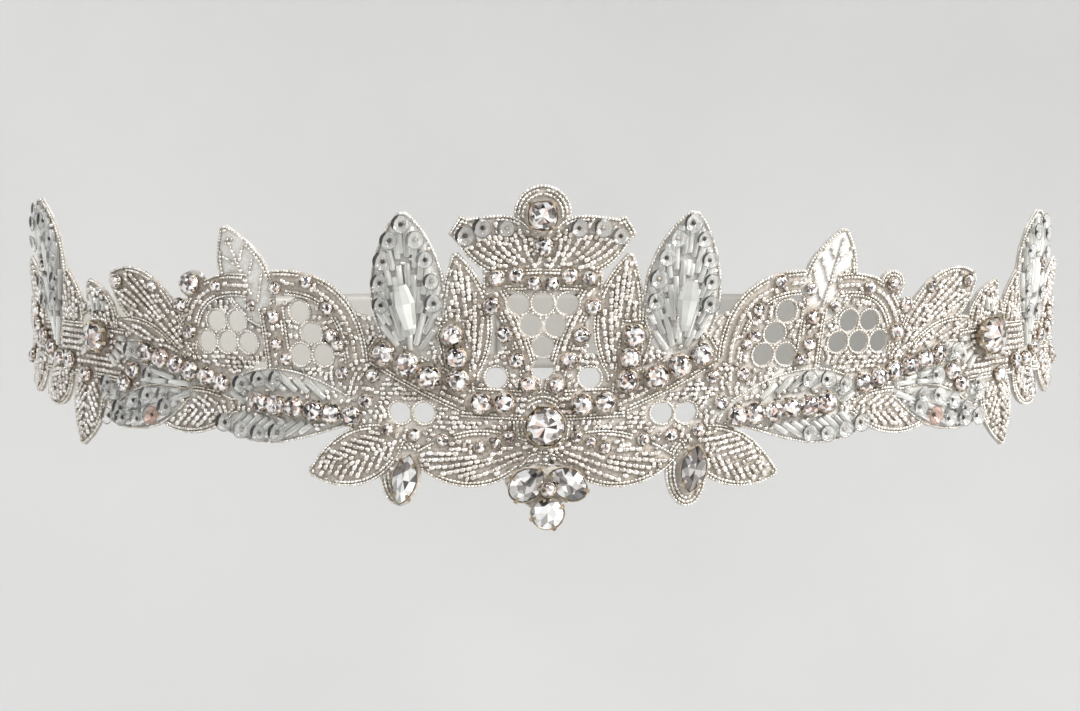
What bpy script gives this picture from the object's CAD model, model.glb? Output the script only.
"""Looks of a worn bridal belt: beaded leaf lace with bugles, sequins and rhinestones, on a satin ribbon."""

import math
from collections import namedtuple
from itertools import product

import bmesh
import bpy
import numpy as np
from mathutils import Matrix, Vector


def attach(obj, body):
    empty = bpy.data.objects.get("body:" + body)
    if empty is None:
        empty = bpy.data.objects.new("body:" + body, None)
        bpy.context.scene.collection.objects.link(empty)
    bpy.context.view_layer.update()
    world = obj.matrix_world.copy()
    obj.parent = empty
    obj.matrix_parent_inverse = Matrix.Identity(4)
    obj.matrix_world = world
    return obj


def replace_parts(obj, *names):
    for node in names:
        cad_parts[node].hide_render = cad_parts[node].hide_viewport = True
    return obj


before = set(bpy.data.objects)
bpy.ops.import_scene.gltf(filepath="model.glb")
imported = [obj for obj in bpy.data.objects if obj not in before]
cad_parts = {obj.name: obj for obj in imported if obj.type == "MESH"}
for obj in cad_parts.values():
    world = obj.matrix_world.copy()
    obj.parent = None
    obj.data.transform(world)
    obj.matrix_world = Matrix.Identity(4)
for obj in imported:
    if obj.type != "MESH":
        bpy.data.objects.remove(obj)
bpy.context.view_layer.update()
rng = np.random.default_rng(29)

MM = 0.001

# Camera at the photograph's angle: level with the belt and a little above it
CAMERA_DISTANCE = 0.600
CAMERA_RISE_DEGREES = 4.0
PIXELS_PER_MM = 4.2
IMAGE_WIDTH = 1080
SENSOR_WIDTH = 36.0
AIM_SIDE = -0.0007
AIM_UP = 0.0107

# The waist and the flat lace, in millimetres: along runs round from the centre front, up from the waist line
WAIST_HALF_WIDTH = 138.0
WAIST_HALF_DEPTH = 97.0
FLARE_RADIUS = 350.0
FACE_OUT = 3.0
LACE_WALL = 1.2
NET_WALL = 0.9
CELL_PITCH = 6.0
CELL_WIDTH = 5.5
CELL_OVERHANG = 0.6
CLOTH_SHARE = 0.45
END_ROOM = 0.6
ARC_POINTS = 2001
LINE_POINTS = 40

SEAM_ALONG = 24.6
SEAM_GAP = 0.3
CENTRE_GAP = 0.4
LACE_END = 216.0
CLOTH_EDGE = 2.8
WALL_SHARE = 0.85
WELD = 0.00001
SHEER_LOOKS = {"veins": 1.0, "bugles": 0.8, "slanted_bugles": 0.8, "net": 0.35}

# Satin ribbon
RIBBON_WIDTH = 24.0
RIBBON_MIDDLE_UP = 5.0
RIBBON_WALL = 1.2
RIBBON_START = 190.2
RIBBON_LAP = 15.0
LAP_RISE = 22.0
LAP_LIFT = 0.8
RIBBON_CLOTH = 0.5
RIBBON_CURL = 0.10
RIBBON_RIPPLE = 0.14
RIBBON_COLUMNS = 90
RIBBON_ROWS = 13
CLOTH_UV_SCALE = 10.0

# Beads, in millimetres; each kind's length and the room that it claims are shares of its width
SEED = 1.25
VEIN_SEED = 0.80
PICOT = 0.66
NET_STRING = 0.32
BEAD_LENGTHS = {"seed": 1.24, "edge": 1.05, "picot": 1.05}
BEAD_ROOM = {"seed": 0.47, "edge": 0.44, "picot": 0.42}
BEAD_REACH = 0.45
ROW_SPREAD = 1.22
ROW_JITTER = 0.04
ROW_STEP = 1.03
ROPE_STEP = 1.02
NET_STEP = 1.12
FILLING_SEED = SEED * 0.9
FILLING_PITCH = SEED * 0.64
FILLING_JITTER = 0.16
FILLING_BOTTOM = -36.0
FILLING_TOP = 56.0
EDGE_ROPES = [(0.40, 0.76), (1.20, 0.92)]
RIM_ROPES = [(0.42, 0.80), (1.30, 0.95), (2.30, 0.95)]
EDGE_BAND = 1.85
RIM_PAD_OUT = 1.4
BUGLE = 1.6
BUGLE_LENGTH = 8.4
BUGLE_SHORTEST = 2.4
BUGLE_EDGE = 1.6
BUGLE_ROOM = 0.30
BUGLE_LOOKS = ("bugles", "slanted_bugles")
SEQUIN = 4.8
WING_SEQUINS = 3
SEQUIN_RIM = 0.35
SHADE_SIDE = (-0.92, 0.39)
CHATON_FOOT = 0.22
SETTING_WALL = 0.25
CLAW = 1.0
BEAD_FACETS = 8
CUSHION = 0.74
POINTED = 1.6
BEAD_FOOT = 0.45
FAN_APEX = 1.5
WING_FOOT = 0.36
WING_SAG = 0.13
CHEVRON_ANGLE = math.radians(38.0)
VEIN_SPREAD = 3.4

# Room, in metres
STAGE_RADIUS = 2.6
STAGE_ROUND = 0.9
STAGE_FLOOR = -0.75
STAGE_TOP = 2.4
STAGE_SIDES = 64
LIGHT_TARGET = (0.0, -0.05, 0.01)
ROOM_LIGHT = 0.42
LIGHTS = [
    ("window_light", (1.9, -1.2, 1.3), (0.9, 1.3), 70.0, (1.0, 0.99, 0.97)),
    ("fill_light", (-1.7, -1.3, 0.6), (1.2, 1.2), 6.0, (0.96, 0.98, 1.0)),
    ("back_light", (0.4, 1.8, 1.3), (1.4, 1.0), 18.0, (1.0, 1.0, 1.0)),
    ("glint_left", (-0.5, -1.6, 1.6), (0.12, 0.12), 7.0, (1.0, 1.0, 1.0)),
    ("glint_right", (0.7, -1.7, 0.9), (0.12, 0.12), 7.0, (1.0, 1.0, 1.0)),
]

Rays = namedtuple("Rays", "along up inner outer first last count")
SequinRow = namedtuple("SequinRow", "inset first pitch lift")
Motif = namedtuple("Motif", "kind start end bow width crown look side", defaults=["both"])
Pad = namedtuple("Pad", "along up length height out tilt", defaults=[0.0])
CellRow = namedtuple("CellRow", "along up count")
Chain = namedtuple("Chain", "diameter start end count side rise", defaults=[None, 1, "both", 0.0])
Stone = namedtuple("Stone", "node shape along up out length width turn height")
Profile = namedtuple("Profile", "belly fullness base_share tip_share")

# Tones of the looks as stops of (position, red, green, blue)
TONES = {
    "seed": [(0.0, 0.54, 0.495, 0.45), (0.3, 0.73, 0.69, 0.645), (0.7, 0.89, 0.86, 0.825),
             (1.0, 1.0, 0.985, 0.965)],
    "seed_drift": [(0.35, 0.88, 0.85, 0.815), (0.65, 1.0, 1.0, 1.0)],
    "edge": [(0.0, 0.52, 0.48, 0.42), (0.4, 0.74, 0.71, 0.66), (1.0, 1.0, 0.98, 0.95)],
    "edge_drift": [(0.35, 0.88, 0.85, 0.80), (0.65, 1.0, 1.0, 1.0)],
    "bugle": [(0.0, 0.60, 0.60, 0.565), (0.5, 0.78, 0.78, 0.745), (1.0, 0.98, 0.98, 0.95)],
    "sequin": [(0.0, 0.84, 0.84, 0.82), (0.5, 0.93, 0.93, 0.915), (0.86, 0.98, 0.98, 0.97),
               (0.90, 0.90, 0.66, 0.56), (0.93, 0.95, 0.96, 0.96)],
    "sequin_shade": [(0.0, 0.02, 0.02, 0.022), (0.60, 0.09, 0.08, 0.08), (0.80, 0.50, 0.50, 0.48)],
    "sequin_depth": [(0.50, 0.0, 0.0, 0.0), (0.60, 1.0, 1.0, 1.0)],
    "pin": [(0.0, 0.02, 0.016, 0.012), (0.6, 0.09, 0.07, 0.05), (1.0, 0.55, 0.5, 0.43)],
    "blush_facets": [(0.0, 0.06, 0.045, 0.04), (0.10, 0.38, 0.33, 0.31), (0.22, 0.88, 0.68, 0.60),
                     (0.36, 0.78, 0.76, 0.75), (0.50, 0.97, 0.94, 0.92), (0.66, 1.0, 1.0, 1.0)],
    "clear_facets": [(0.0, 0.10, 0.095, 0.09), (0.08, 0.42, 0.42, 0.41), (0.26, 0.66, 0.66, 0.65),
                     (0.46, 0.84, 0.84, 0.83), (0.62, 0.97, 0.97, 0.96), (0.78, 1.0, 1.0, 1.0)],
    "splinters": [(0.0, 0.02, 0.015, 0.014), (0.27, 0.22, 0.17, 0.155), (0.38, 0.62, 0.58, 0.56),
                  (0.48, 1.0, 1.0, 1.0)],
    "setting": [(0.3, 0.20, 0.14, 0.085), (0.55, 0.50, 0.42, 0.32), (0.75, 0.80, 0.76, 0.68)],
    "cloth": [(0.32, 0.30, 0.25, 0.205), (0.52, 0.50, 0.45, 0.395), (0.72, 0.68, 0.635, 0.585)],
    "tulle": [(0.30, 0.56, 0.55, 0.525), (0.50, 0.68, 0.67, 0.645), (0.72, 0.80, 0.79, 0.77)],
    "backing": [(0.30, 0.36, 0.335, 0.295), (0.50, 0.47, 0.445, 0.40), (0.72, 0.58, 0.555, 0.51)],
    "satin": [(0.3, 0.56, 0.55, 0.525), (0.7, 0.66, 0.65, 0.63)],
    "drop_facets": [(0.0, 0.56, 0.57, 0.54), (0.25, 0.70, 0.71, 0.68), (0.55, 0.82, 0.83, 0.80),
                    (0.8, 0.95, 0.95, 0.93)],
    "drop_cloud": [(0.35, 0.86, 0.86, 0.85), (0.65, 1.0, 1.0, 1.0)],
    "plaster": [(0.3, 0.645, 0.645, 0.64), (0.7, 0.685, 0.685, 0.68)],
}

SEQUIN_ROWS = {
    "bugles": SequinRow(2.9, 0.24, 5.3, 1.45),
    "slanted_bugles": SequinRow(2.7, 0.50, 5.0, 1.45),
    "wing": SequinRow(3.1, 0.22, 5.7, 0.5),
}

# Bugles set like rays round the side stones, angles in degrees from the direction away from the centre front
RAYS = Rays(123.1, 13.2, 6.3, 10.6, -30.0, 235.0, 17)

PROFILES = {
    "leaf": Profile(0.95, 0.72, 0.34, 0.14),
    "feather": Profile(1.45, 0.62, 0.30, 0.24),
    "ogive": Profile(0.80, 0.60, 0.85, 0.12),
    "wing": Profile(0.65, 0.60, 0.75, 0.36),
    "band": Profile(1.0, 0.0, 1.0, 1.0),
}

MOTIFS = [
    Motif("wing", (2.0, 36.0), (21.2, 41.8), -1.5, 14.8, 1.2, "wing"),
    Motif("band", (-1.0, 29.0), (14.5, 28.4), 0.0, 5.2, 0.6, "rows"),
    Motif("band", (12.3, 27.0), (2.4, 1.0), -1.6, 4.8, 0.8, "rows"),
    Motif("leaf", (17.6, 4.0), (21.2, 35.0), 1.0, 12.4, 1.3, "fan"),
    Motif("leaf", (2.0, -11.0), (32.5, -14.0), -1.8, 14.0, 1.1, "fan"),
    Motif("band", (4.0, -1.4), (21.0, -0.6), 0.0, 7.5, 0.8, "rows"),
    Motif("band", (19.6, 0.0), (22.2, 19.0), 0.0, 6.5, 0.7, "rows"),
    Motif("band", (18.5, 0.6), (42.5, 13.0), -0.6, 8.5, 1.0, "rows"),
    Motif("ogive", (33.0, 10.0), (36.6, 45.0), 0.6, 19.4, 1.5, "bugles", "right"),
    Motif("ogive", (32.2, 10.0), (33.8, 44.8), 0.0, 19.0, 1.5, "bugles", "left"),
    Motif("band", (46.0, 8.0), (69.0, 27.4), 7.8, 6.4, 0.8, "rows"),
    Motif("leaf", (68.0, 16.5), (75.6, 40.6), -0.6, 14.5, 1.3, "veins", "right"),
    Motif("leaf", (69.0, 16.5), (80.4, 41.2), -0.6, 14.0, 1.3, "veins", "left"),
    Motif("band", (68.4, 22.0), (66.2, 4.0), 0.0, 7.0, 0.6, "rows"),
    Motif("band", (74.0, 26.6), (93.0, 10.0), 7.2, 6.0, 0.8, "rows"),
    Motif("feather", (41.0, -4.6), (86.4, -4.8), 2.4, 18.8, 1.4, "slanted_bugles"),
    Motif("leaf", (34.0, -8.0), (58.4, -18.4), -1.0, 14.0, 1.1, "chevron"),
    Motif("leaf", (78.0, -2.6), (107.0, -4.6), -0.8, 12.0, 1.0, "chevron"),
    Motif("feather", (91.0, 8.0), (119.0, 28.2), 2.2, 14.6, 1.3, "fan"),
    Motif("leaf", (95.0, 9.0), (119.0, 17.6), -0.6, 10.0, 0.8, "fan"),
    Motif("leaf", (92.0, 4.0), (124.5, 8.8), 0.6, 11.0, 1.2, "bugles"),
    Motif("leaf", (92.0, 2.0), (128.0, -0.6), 0.0, 12.0, 1.3, "bugles"),
    Motif("leaf", (92.0, 0.0), (122.6, -7.6), -0.6, 11.0, 1.2, "bugles"),
    Motif("leaf", (120.0, 8.0), (128.6, 27.0), 1.0, 12.0, 1.1, "fan"),
    Motif("leaf", (128.6, 8.0), (133.4, -15.4), -0.6, 14.5, 1.1, "chevron"),
    Motif("leaf", (135.6, 8.0), (139.0, 29.5), -0.6, 13.0, 1.1, "fan"),
    Motif("band", (114.0, 8.0), (158.0, 9.0), 0.8, 14.0, 0.8, "rows"),
    Motif("feather", (145.6, 8.0), (148.4, 44.6), 0.4, 17.6, 1.4, "bugles", "right"),
    Motif("feather", (146.0, 8.0), (151.6, 47.4), 0.4, 17.6, 1.4, "bugles", "left"),
    Motif("leaf", (140.0, 8.0), (153.0, -5.0), -1.2, 13.0, 1.2, "chevron"),
    Motif("leaf", (156.0, 8.0), (170.6, 31.6), 1.4, 13.5, 1.3, "fan"),
    Motif("leaf", (154.0, 8.0), (180.0, -1.5), -1.2, 12.5, 1.2, "chevron"),
    Motif("leaf", (162.0, 8.0), (192.4, 20.0), 1.8, 12.0, 1.2, "fan"),
    Motif("leaf", (162.0, 6.0), (210.0, 5.0), 0.0, 15.0, 1.3, "chevron"),
]

PADS = [
    Pad(0.0, 36.6, 12.0, 15.0, 1.0),
    Pad(0.0, 44.4, 14.0, 14.0, 1.7),
    Pad(0.0, -6.0, 15.0, 16.0, 1.8),
    Pad(0.0, -21.0, 12.0, 12.0, 1.5),
    Pad(5.4, -19.4, 8.0, 7.0, 1.5),
    Pad(5.0, -13.0, 16.0, 15.0, 1.0),
    Pad(11.0, 4.6, 17.0, 13.0, NET_WALL),
    Pad(18.0, -9.4, 28.0, 17.0, 1.0, -6.0),
    Pad(32.0, -3.0, 28.0, 18.0, NET_WALL, 6.0),
    Pad(32.6, 9.6, 24.0, 16.0, 1.0, 20.0),
    Pad(45.6, 8.6, 18.4, 24.0, 1.0),
    Pad(35.0, -17.6, 10.4, 17.0, 1.5),
    Pad(57.5, 13.6, 23.0, 22.0, NET_WALL, 30.0),
    Pad(80.5, 15.4, 26.0, 20.0, NET_WALL),
    Pad(88.0, 3.0, 28.0, 14.0, 1.0),
    Pad(90.4, 26.6, 7.6, 7.6, 1.4),
    Pad(107.6, 3.0, 37.0, 23.0, 1.0),
    Pad(122.8, 13.2, 13.0, 14.0, 1.8),
    Pad(136.0, 12.0, 28.0, 20.0, NET_WALL),
]
SHIELD = Pad(0.0, 15.0, 22.0, 26.0, NET_WALL)

CELL_ROWS = [
    CellRow(0.0, 23.0, 2),
    CellRow(3.0, 17.8, 1),
    CellRow(0.0, 12.6, 1),
    CellRow(0.0, 7.4, 1),
    CellRow(11.4, 5.2, 1),
    CellRow(29.2, -3.4, 2),
    CellRow(54.8, 10.2, 2),
    CellRow(57.8, 15.4, 1),
    CellRow(60.8, 20.6, 1),
    CellRow(75.2, 12.8, 3),
    CellRow(78.2, 18.0, 2),
    CellRow(130.0, 16.0, 1),
]

# Rhinestones: chains from their first stone to their last, and stones that stand alone
CHAINS = [
    Chain(4.2, (12.2, 22.4), (9.5, 15.5), 2),
    Chain(4.0, (6.2, 9.2), (3.4, 3.6), 2),
    Chain(3.6, (2.1, 27.8)),
    Chain(3.8, (6.4, 29.7), (11.0, 29.0), 2),
    Chain(5.2, (9.4, -0.9), (15.2, -0.8), 2),
    Chain(5.4, (20.4, 4.6), (21.9, 15.4), 3),
    Chain(6.0, (27.8, 5.4), (38.8, 10.9), 3),
    Chain(5.2, (47.6, -4.4), (71.6, -1.4), 6),
    Chain(5.0, (82.6, 2.8), (105.6, 9.4), 6),
    Chain(4.6, (110.6, 4.8), (113.8, 1.2), 2),
    Chain(4.9, (0.1, 36.8), side="right"),
    Chain(3.8, (1.3, -21.4), side="right", rise=2.6),
    Chain(3.4, (52.4, 14.8)),
    Chain(3.2, (64.4, 9.0)),
    Chain(3.6, (49.7, 5.9), (41.7, 5.2), 2),
    Chain(3.8, (43.9, -0.9)),
    Chain(3.2, (38.2, -7.6), (24.4, -9.7), 3),
    Chain(3.0, (8.2, -9.0), (15.2, -11.6), 3),
    Chain(3.0, (50.6, 12.9), (53.4, 21.3), 2),
    Chain(3.4, (58.6, 28.2), (66.8, 26.2), 2),
    Chain(3.4, (67.6, 19.4), (67.0, 12.8), 2),
    Chain(3.2, (73.6, 21.8), (83.4, 26.4), 2),
    Chain(3.8, (95.0, 21.4), (91.8, 15.0), 2),
    Chain(5.6, (90.4, 26.8), side="left"),
    Chain(3.6, (90.4, 26.6), side="right"),
    Chain(3.6, (115.4, 27.2)),
    Chain(3.0, (103.0, 26.0)),
    Chain(4.4, (130.0, 3.0), (138.0, 6.0), 2),
    Chain(4.2, (144.0, 6.4), (160.0, 14.0), 4),
    Chain(3.6, (152.0, 30.0), (170.0, 6.0), 3),
    Chain(3.8, (176.0, 4.6), (198.0, 4.6), 3),
]

STONES = [
    Stone("centre_stone", "round", 0.6, -6.2, 2.1, 10.0, 10.0, 0.0, 4.6),
    Stone("crown_stone", "cushion", 0.0, 44.2, 2.0, 7.5, 7.5, 0.0, 3.8),
    Stone("pendant_right", "drop", 6.1, -20.0, 1.8, 10.2, 7.8, 52.0, 3.2),
    Stone("pendant_left", "drop", -3.8, -20.2, 1.8, 10.2, 7.8, -50.0, 3.2),
    Stone("pendant_low", "drop", 1.1, -27.0, 1.8, 8.2, 8.4, 0.0, 3.2),
    Stone("marquise_right", "navette", 36.4, -16.8, 1.8, 11.8, 6.8, -12.0, 3.4),
    Stone("marquise_left", "navette", -33.4, -19.4, 1.8, 12.6, 6.6, -12.0, 3.2),
    Stone("side_stone_right", "round", 123.4, 13.2, 2.1, 10.0, 10.0, 0.0, 4.8),
    Stone("side_stone_left", "round", -122.8, 13.0, 2.1, 8.4, 8.4, 0.0, 4.4),
    Stone("drop_bead_right", "bead", 34.4, 22.6, 3.0, 12.0, 5.2, -7.5, 3.8),
    Stone("drop_bead_left", "bead", -32.6, 21.6, 3.0, 12.0, 5.4, 12.0, 3.8),
]

STONE_LOOKS = {"bead": "drop_bead", "round": "blush_stone", "cushion": "blush_stone"}
STONE_SIDES = 16
CUP_SIDES = 32

# Rings of corners of a large stone: (share of the outline, share of the height, turn, every how many corners)
LEVELS = {
    "round": [(0.62, 0.16, 0.0, 2), (1.0, 0.50, 0.5, 1), (1.0, 0.57, 0.5, 1), (0.86, 0.78, 0.0, 2),
              (0.60, 0.93, 0.5, 1), (0.0, 1.0, 0.0, 16)],
    "navette": [(0.6, 0.16, 0.0, 2), (1.0, 0.50, 0.0, 1), (1.0, 0.58, 0.0, 1), (0.55, 0.93, 0.0, 2),
                (0.0, 1.0, 0.0, 16)],
    "drop": [(0.6, 0.16, 0.0, 2), (1.0, 0.50, 0.0, 1), (1.0, 0.58, 0.0, 1), (0.58, 0.91, 0.0, 2),
             (0.0, 1.0, 0.0, 16)],
}


# The waist's shape

def arc_table():
    """Angles from the centre front to the centre back, and how far along the belt's face each one lies."""
    angles = np.linspace(0.0, math.pi, ARC_POINTS)
    across = (WAIST_HALF_WIDTH + FACE_OUT) * np.cos(angles)
    deep = (WAIST_HALF_DEPTH + FACE_OUT) * np.sin(angles)
    speed = np.hypot(across, deep)
    steps = (speed[1:] + speed[:-1]) / 2.0 * np.diff(angles)
    return angles, np.concatenate([[0.0], np.cumsum(steps)])


ARC_ANGLES, ARC_LENGTHS = arc_table()
CENTRE_BACK_ALONG = float(ARC_LENGTHS[-1])


def waist_angles(along):
    far = np.abs(along)
    near_angle = np.interp(np.minimum(far, 2.0 * CENTRE_BACK_ALONG - far), ARC_LENGTHS, ARC_ANGLES)
    angle = np.where(far > CENTRE_BACK_ALONG, 2.0 * math.pi - near_angle, near_angle)
    return np.copysign(angle, along)


def waist_radii(up):
    """Half width and half depth at a height; the waist flares out above and below the waist line."""
    flare = up ** 2 / (2.0 * FLARE_RADIUS)
    return WAIST_HALF_WIDTH + flare, WAIST_HALF_DEPTH + flare


def on_waist(flat):
    """Flat points (along, up, out) in millimetres, laid round the waist in metres."""
    angle = waist_angles(flat[:, 0])
    half_width, half_depth = waist_radii(flat[:, 1])
    outward = np.stack([np.sin(angle) / half_width, -np.cos(angle) / half_depth], axis=1)
    outward /= np.linalg.norm(outward, axis=1)[:, None]
    ring = np.stack([half_width * np.sin(angle), -half_depth * np.cos(angle)], axis=1)
    ring += outward * flat[:, 2:3]
    return np.column_stack([ring, flat[:, 1]]) * MM


def from_waist(points):
    """Points in metres back on the flat, in millimetres."""
    x, y, up = (points / MM).T
    half_width, half_depth = waist_radii(up)
    angle = np.arctan2(x / half_width, -y / half_depth)
    for _ in range(4):
        miss_x = x - half_width * np.sin(angle)
        miss_y = y + half_depth * np.cos(angle)
        tangent_x = half_width * np.cos(angle)
        tangent_y = half_depth * np.sin(angle)
        angle += (miss_x * tangent_x + miss_y * tangent_y) / (tangent_x ** 2 + tangent_y ** 2)
    out = (miss_x * np.sin(angle) / half_width - miss_y * np.cos(angle) / half_depth) / np.hypot(
        np.sin(angle) / half_width, np.cos(angle) / half_depth)
    along = np.copysign(np.interp(np.abs(angle), ARC_ANGLES, ARC_LENGTHS), angle)
    return np.column_stack([along, up, out])


# Outlines and heights of the flat lace

def half_width_at(motif, t):
    profile = PROFILES[motif.kind]
    swell = np.maximum(np.sin(np.pi * t ** profile.belly), 0.0) ** profile.fullness
    blunt_end = profile.base_share * (1.0 - t) + profile.tip_share * t
    return motif.width / 2.0 * np.maximum(swell, blunt_end)


def middle_line(motif, t):
    """Points on a motif's middle line, and the unit directions along and across it."""
    start = np.array(motif.start)
    run = np.array(motif.end) - start
    across = np.array([-run[1], run[0]]) / np.hypot(*run)
    points = start + np.outer(t, run) + np.outer(4.0 * motif.bow * t * (1.0 - t), across)
    heading = run + np.outer(4.0 * motif.bow * (1.0 - 2.0 * t), across)
    heading /= np.linalg.norm(heading, axis=1)[:, None]
    return points, heading, np.column_stack([-heading[:, 1], heading[:, 0]])


def motif_places(motif, points):
    """Where flat points lie in a motif: its t, the distance aside, the half width there and the overshoot."""
    stations = np.linspace(0.0, 1.0, 25)
    line, heading, _ = middle_line(motif, stations)
    nearest = np.argmin(((points[:, None, :] - line[None]) ** 2).sum(axis=2), axis=1)
    length = np.hypot(motif.end[0] - motif.start[0], motif.end[1] - motif.start[1])
    ahead = ((points - line[nearest]) * heading[nearest]).sum(axis=1)
    t = np.clip(stations[nearest] + ahead / length, 0.0, 1.0)
    middle, heading, across = middle_line(motif, t)
    offset = points - middle
    return t, (offset * across).sum(axis=1), half_width_at(motif, t), np.abs((offset * heading).sum(axis=1))


def inside_motif(motif, points, margin):
    _, aside, half, overshoot = motif_places(motif, points)
    return (np.abs(aside) <= half - margin) & (overshoot <= END_ROOM - min(margin, 0.5))


def inside_pad(pad, points):
    tilt = math.radians(pad.tilt)
    along = points[:, 0] - pad.along
    up = points[:, 1] - pad.up
    long_way = (along * math.cos(tilt) + up * math.sin(tilt)) / (pad.length / 2.0)
    short_way = (up * math.cos(tilt) - along * math.sin(tilt)) / (pad.height / 2.0)
    return long_way ** 2 + short_way ** 2 <= 1.0


def side_motifs(side):
    return [motif for motif in MOTIFS if motif.side in ("both", side)]


def cell_ovals():
    """Net cells of one half as rows of (along, up, half length, half height, tilt)."""
    ovals = []
    for row in CELL_ROWS:
        for index in range(row.count):
            along = row.along + index * CELL_PITCH
            wave = math.sin(1.9 * along + 0.7 * row.up)
            half_length = CELL_WIDTH * (0.48 + 0.02 * wave)
            half_height = CELL_WIDTH * (0.47 - 0.025 * wave)
            ovals.append((along, row.up, half_length, half_height, math.radians(35.0 * wave)))
    return np.array(ovals)


CELL_OVALS = cell_ovals()


def in_cells(points, margin):
    """Whether points lie in a net cell, taken as a circle and grown by the margin."""
    reach = CELL_OVALS[:, 2:4].mean(axis=1) + margin
    gaps = points[:, None, :] - CELL_OVALS[None, :, :2]
    return ((gaps ** 2).sum(axis=2) < reach ** 2).any(axis=1)


def motif_reach(motif):
    """The lowest and highest flat corner of the box that a motif lies in."""
    line, _, _ = middle_line(motif, np.linspace(0.0, 1.0, 9))
    return line.min(axis=0) - motif.width / 2.0 - 1.0, line.max(axis=0) + motif.width / 2.0 + 1.0


MOTIF_REACHES = {motif: motif_reach(motif) for motif in MOTIFS}


def ground(side, points):
    """Height of the flat lace at each point of one half, and which of its motifs lies on top there."""
    height = np.zeros(len(points))
    owner = np.full(len(points), -1)
    for pad in PADS + [SHIELD]:
        height = np.where(inside_pad(pad, points), np.maximum(height, pad.out), height)
    for index, motif in enumerate(side_motifs(side)):
        lowest, highest = MOTIF_REACHES[motif]
        near = np.flatnonzero(((points > lowest) & (points < highest)).all(axis=1))
        if not len(near):
            continue
        t, aside, half, overshoot = motif_places(motif, points[near])
        inside = (np.abs(aside) <= half) & (overshoot <= np.where((t > 0.0) & (t < 1.0), END_ROOM, 0.02))
        swell = np.sin(np.pi * (0.08 + 0.84 * t)) ** 0.6
        rib = motif.crown * (1.0 - np.minimum(np.abs(aside) / half, 1.0)) * swell
        near = near[inside]
        height[near] = np.maximum(height[near], LACE_WALL + rib[inside])
        owner[near] = index
    return height, owner


# Strands that beads follow, as flat polylines

def distances(line):
    """How far along a polyline each of its points lies."""
    return np.concatenate([[0.0], np.cumsum(np.hypot(*np.diff(line, axis=0).T))])


def points_at(line, stops):
    lengths = distances(line)
    return np.column_stack([np.interp(stops, lengths, line[:, 0]), np.interp(stops, lengths, line[:, 1])])


def strand_places(line, pitch, first=0.5):
    """Points every pitch along a polyline, and the unit directions there."""
    stops = np.arange(first * pitch, distances(line)[-1], pitch)
    heading = points_at(line, stops + 0.3) - points_at(line, stops - 0.3)
    heading /= np.maximum(np.hypot(*heading.T), 1e-9)[:, None]
    return points_at(line, stops), heading


def oval_line(along, up, half_length, half_height, tilt, count):
    """A closed oval as a polyline, tilted by an angle in radians."""
    angles = np.linspace(0.0, math.tau, count)
    x = half_length * np.cos(angles)
    y = half_height * np.sin(angles)
    return np.column_stack([along + x * math.cos(tilt) - y * math.sin(tilt),
                            up + x * math.sin(tilt) + y * math.cos(tilt)])


def motif_outline(motif, inset, first=0.0):
    """The edge of a motif, set in from it: up one side from a share of its length, round the tip and back."""
    trim = inset / math.dist(motif.start, motif.end)
    t = np.linspace(max(trim, first), 1.0 - trim, LINE_POINTS)
    middle, _, across = middle_line(motif, t)
    reach = np.maximum(half_width_at(motif, t) - inset, 0.1)[:, None]
    return np.concatenate([middle + across * reach, (middle - across * reach)[::-1]])


def rows_strands(motif, pitch):
    """Rows beside the middle line, from one end to the other."""
    count = int((motif.width / 2.0 - EDGE_BAND) / pitch)
    strands = []
    for offset in pitch * np.arange(-count, count + 1):
        t = np.linspace(0.0, 1.0, LINE_POINTS)
        t = t[half_width_at(motif, t) - EDGE_BAND * 0.9 >= abs(offset)]
        if len(t) > 1:
            middle, _, across = middle_line(motif, t)
            strands.append(middle + across * offset)
    return strands


def open_rows(apex, targets, sag, count):
    """Rows from the targets to the apex, each sagging aside by sag of its length, the widest apart first."""
    bend = np.linspace(0.0, 1.0, count)[:, None]
    strands = []
    for target in targets:
        run = target - apex
        length = np.hypot(*run)
        aside = np.array([-run[1], run[0]]) / length
        strands.append(target - run * bend + aside * (4.0 * sag(length) * bend * (1.0 - bend)))
    return strands[::4] + strands[2::4] + strands[1::4] + strands[3::4]


def fan_strands(motif, pitch, inset=EDGE_BAND):
    """Rows that open from the base to places spaced evenly round the tip."""
    base, heading, _ = middle_line(motif, np.array([0.0]))
    targets, _ = strand_places(motif_outline(motif, inset, 0.16), pitch)
    return open_rows(base[0] - heading[0] * FAN_APEX, targets, lambda length: motif.bow * 0.5, 12)


def wing_strands(motif, pitch):
    """Rows that open from the inner lower corner to the upper edge, bent to follow the lower edge."""
    base, heading, across = middle_line(motif, np.array([0.0]))
    apex = base[0] - heading[0] * FAN_APEX - across[0] * motif.width * WING_FOOT
    upper = motif_outline(motif, EDGE_BAND, 0.02)
    targets, _ = strand_places(upper[:len(upper) * 6 // 10], pitch)
    return open_rows(apex, targets, lambda length: -WING_SAG * length, 16)


def chevron_strands(motif, pitch, rib=0.7, inset=EDGE_BAND):
    """Rows that slant out to both edges from the middle rib."""
    strands = []
    step = pitch / math.sin(CHEVRON_ANGLE) / math.dist(motif.start, motif.end)
    for t in np.arange(0.02, 0.97, step):
        middle, heading, across = middle_line(motif, np.array([t]))
        for sign in (1.0, -1.0):
            slant = heading * math.cos(CHEVRON_ANGLE) + across * sign * math.sin(CHEVRON_ANGLE)
            line = middle + across * sign * rib + slant * np.arange(0.0, motif.width, 0.25)[:, None]
            inside = inside_motif(motif, line, inset)
            count = len(line) if inside.all() else int(np.argmin(inside))
            if count > 3:
                strands.append(line[:count])
    return strands


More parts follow.
